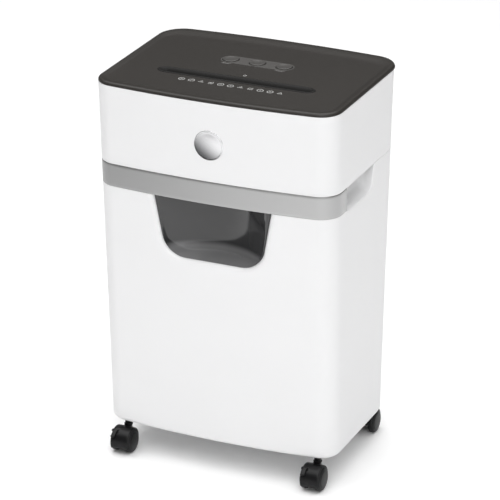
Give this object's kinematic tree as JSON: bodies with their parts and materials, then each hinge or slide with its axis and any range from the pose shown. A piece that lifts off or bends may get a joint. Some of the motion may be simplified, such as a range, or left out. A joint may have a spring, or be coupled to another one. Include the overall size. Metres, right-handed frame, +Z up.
{
  "type": "paper shredder",
  "caption": "Tall free-standing paper shredder: lift-off motorised cutting head with push buttons on a tapered waste bin with a hand scoop and swivel casters.",
  "frame": {"origin": "on the floor, below the centre of the body", "axes": "+Z up, bowed front faces -Y, +X to the viewer's right"},
  "size_m": [0.39, 0.291, 0.6153],
  "materials": {
    "white_shell": "satin white moulded plastic",
    "dark_lid": "fine matte, warm dark grey",
    "smoked_scoop": "glossy smoked grey",
    "silver_band": "satin silver paint",
    "chrome_badge": "polished",
    "panel_grey": "satin grey",
    "button_grey": "satin, dished",
    "black_plastic": "moulded black",
    "caster_plastic": "black nylon",
    "caster_wheel": "black tread",
    "steel": "ground steel",
    "cutter_steel": "oiled steel",
    "bronze": "sintered bronze",
    "gear_steel": "sintered steel",
    "gear_nylon": "natural nylon",
    "motor_steel": "zinc plated",
    "circuit_board": "solder mask",
    "damper_rubber": "soft black"
  },
  "bodies": {
    "bin": {"bin_shell": "white_shell", "window_scoop": "smoked_scoop", "trim_band": "silver_band", "grip_cups": "white_shell", "interlock_key": "white_shell", "caster_stems": "caster_plastic"},
    "head": {"head_shell": "white_shell", "top_cover": "dark_lid", "control_panel": "panel_grey", "paper_throat": "black_plastic", "paper_sensors": "black_plastic", "head_base": "black_plastic", "badge": "chrome_badge", "side_frames": "steel", "tie_rods": "steel", "shaft_bushes": "bronze", "front_comb": "black_plastic", "rear_comb": "black_plastic", "rubber_pads": "damper_rubber", "gear_cover": "black_plastic", "compound_axle": "steel", "motor_can": "motor_steel", "motor_end_cap": "black_plastic", "control_board": "circuit_board", "power_board": "circuit_board", "interlock_switch": "black_plastic", "switch_bezel": "black_plastic", "cord_gland": "black_plastic", "head_screws": "steel"},
    "reverse_button": {"reverse_button": "button_grey"},
    "power_button": {"power_button": "button_grey"},
    "forward_button": {"forward_button": "button_grey"},
    "rear_switch": {"rear_switch": "black_plastic"},
    "front_shaft": {"front_cutter": "cutter_steel", "front_sync_gear": "gear_steel"},
    "rear_shaft": {"rear_cutter": "cutter_steel", "rear_sync_gear": "gear_steel", "drive_gear": "gear_steel"},
    "compound_gear": {"compound_gear": "gear_nylon"},
    "motor_pinion": {"motor_pinion": "bronze"},
    "front_left_caster": {"front_left_hood": "caster_plastic", "front_left_axle": "steel"},
    "front_left_wheel_left": {"front_left_wheel_left": "caster_wheel"},
    "front_left_wheel_right": {"front_left_wheel_right": "caster_wheel"},
    "front_left_brake": {"front_left_brake": "caster_plastic"},
    "front_right_caster": {"front_right_hood": "caster_plastic", "front_right_axle": "steel"},
    "front_right_wheel_left": {"front_right_wheel_left": "caster_wheel"},
    "front_right_wheel_right": {"front_right_wheel_right": "caster_wheel"},
    "front_right_brake": {"front_right_brake": "caster_plastic"},
    "rear_left_caster": {"rear_left_hood": "caster_plastic", "rear_left_axle": "steel"},
    "rear_left_wheel_left": {"rear_left_wheel_left": "caster_wheel"},
    "rear_left_wheel_right": {"rear_left_wheel_right": "caster_wheel"},
    "rear_right_caster": {"rear_right_hood": "caster_plastic", "rear_right_axle": "steel"},
    "rear_right_wheel_left": {"rear_right_wheel_left": "caster_wheel"},
    "rear_right_wheel_right": {"rear_right_wheel_right": "caster_wheel"}
  },
  "joints": [
    {"name": "head_lift", "type": "slide", "parent": "bin", "child": "head", "axis": [0, 0, 1], "range_m": [0, 0.15]},
    {"name": "reverse_press", "type": "slide", "parent": "head", "child": "reverse_button", "axis": [0, 0, -1], "range_m": [0, 0.0015], "stiffness_N_per_m": 400, "springref_m": -0.001},
    {"name": "power_press", "type": "slide", "parent": "head", "child": "power_button", "axis": [0, 0, -1], "range_m": [0, 0.0015], "stiffness_N_per_m": 400, "springref_m": -0.001},
    {"name": "forward_press", "type": "slide", "parent": "head", "child": "forward_button", "axis": [0, 0, -1], "range_m": [0, 0.0015], "stiffness_N_per_m": 400, "springref_m": -0.001},
    {"name": "rear_switch_rock", "type": "hinge", "parent": "head", "child": "rear_switch", "pos_m": [-0.11967, 0.13412, 0.54519], "axis": [0.9979, 0.0652, 0], "range_deg": [-16, 0]},
    {"name": "rear_shaft_spin", "type": "hinge", "parent": "head", "child": "rear_shaft", "pos_m": [0, -0.0312, 0.53], "axis": [1, 0, 0], "continuous": true},
    {"name": "front_shaft_spin", "type": "hinge", "parent": "head", "child": "front_shaft", "pos_m": [0, -0.0592, 0.53], "axis": [1, 0, 0], "continuous": true},
    {"name": "compound_gear_spin", "type": "hinge", "parent": "head", "child": "compound_gear", "pos_m": [0, 0.0038, 0.53], "axis": [1, 0, 0], "continuous": true},
    {"name": "motor_spin", "type": "hinge", "parent": "head", "child": "motor_pinion", "pos_m": [0, 0.0388, 0.53], "axis": [1, 0, 0], "continuous": true},
    {"name": "front_left_swivel", "type": "hinge", "parent": "bin", "child": "front_left_caster", "pos_m": [-0.16, -0.1, 0.034], "axis": [0, 0, 1], "continuous": true},
    {"name": "front_left_roll_left", "type": "hinge", "parent": "front_left_caster", "child": "front_left_wheel_left", "pos_m": [-0.16, -0.115, 0.0185], "axis": [1, 0, 0], "continuous": true},
    {"name": "front_left_roll_right", "type": "hinge", "parent": "front_left_caster", "child": "front_left_wheel_right", "pos_m": [-0.16, -0.115, 0.0185], "axis": [1, 0, 0], "continuous": true},
    {"name": "front_left_brake_press", "type": "hinge", "parent": "front_left_caster", "child": "front_left_brake", "pos_m": [-0.16, -0.12831, 0.0375], "axis": [1, 0, 0], "range_deg": [0, 8]},
    {"name": "front_right_swivel", "type": "hinge", "parent": "bin", "child": "front_right_caster", "pos_m": [0.16, -0.1, 0.034], "axis": [0, 0, 1], "continuous": true},
    {"name": "front_right_roll_left", "type": "hinge", "parent": "front_right_caster", "child": "front_right_wheel_left", "pos_m": [0.16, -0.115, 0.0185], "axis": [1, 0, 0], "continuous": true},
    {"name": "front_right_roll_right", "type": "hinge", "parent": "front_right_caster", "child": "front_right_wheel_right", "pos_m": [0.16, -0.115, 0.0185], "axis": [1, 0, 0], "continuous": true},
    {"name": "front_right_brake_press", "type": "hinge", "parent": "front_right_caster", "child": "front_right_brake", "pos_m": [0.16, -0.12831, 0.0375], "axis": [1, 0, 0], "range_deg": [0, 8]},
    {"name": "rear_left_swivel", "type": "hinge", "parent": "bin", "child": "rear_left_caster", "pos_m": [-0.16, 0.088, 0.034], "axis": [0, 0, 1], "continuous": true},
    {"name": "rear_left_roll_left", "type": "hinge", "parent": "rear_left_caster", "child": "rear_left_wheel_left", "pos_m": [-0.16, 0.103, 0.0185], "axis": [1, 0, 0], "continuous": true},
    {"name": "rear_left_roll_right", "type": "hinge", "parent": "rear_left_caster", "child": "rear_left_wheel_right", "pos_m": [-0.16, 0.103, 0.0185], "axis": [1, 0, 0], "continuous": true},
    {"name": "rear_right_swivel", "type": "hinge", "parent": "bin", "child": "rear_right_caster", "pos_m": [0.16, 0.088, 0.034], "axis": [0, 0, 1], "continuous": true},
    {"name": "rear_right_roll_left", "type": "hinge", "parent": "rear_right_caster", "child": "rear_right_wheel_left", "pos_m": [0.16, 0.103, 0.0185], "axis": [1, 0, 0], "continuous": true},
    {"name": "rear_right_roll_right", "type": "hinge", "parent": "rear_right_caster", "child": "rear_right_wheel_right", "pos_m": [0.16, 0.103, 0.0185], "axis": [1, 0, 0], "continuous": true}
  ],
  "couplings": [
    {"joint": "front_shaft_spin", "follows": "rear_shaft_spin", "ratio": -1},
    {"joint": "compound_gear_spin", "follows": "rear_shaft_spin", "ratio": -3},
    {"joint": "motor_spin", "follows": "rear_shaft_spin", "ratio": 12}
  ]
}
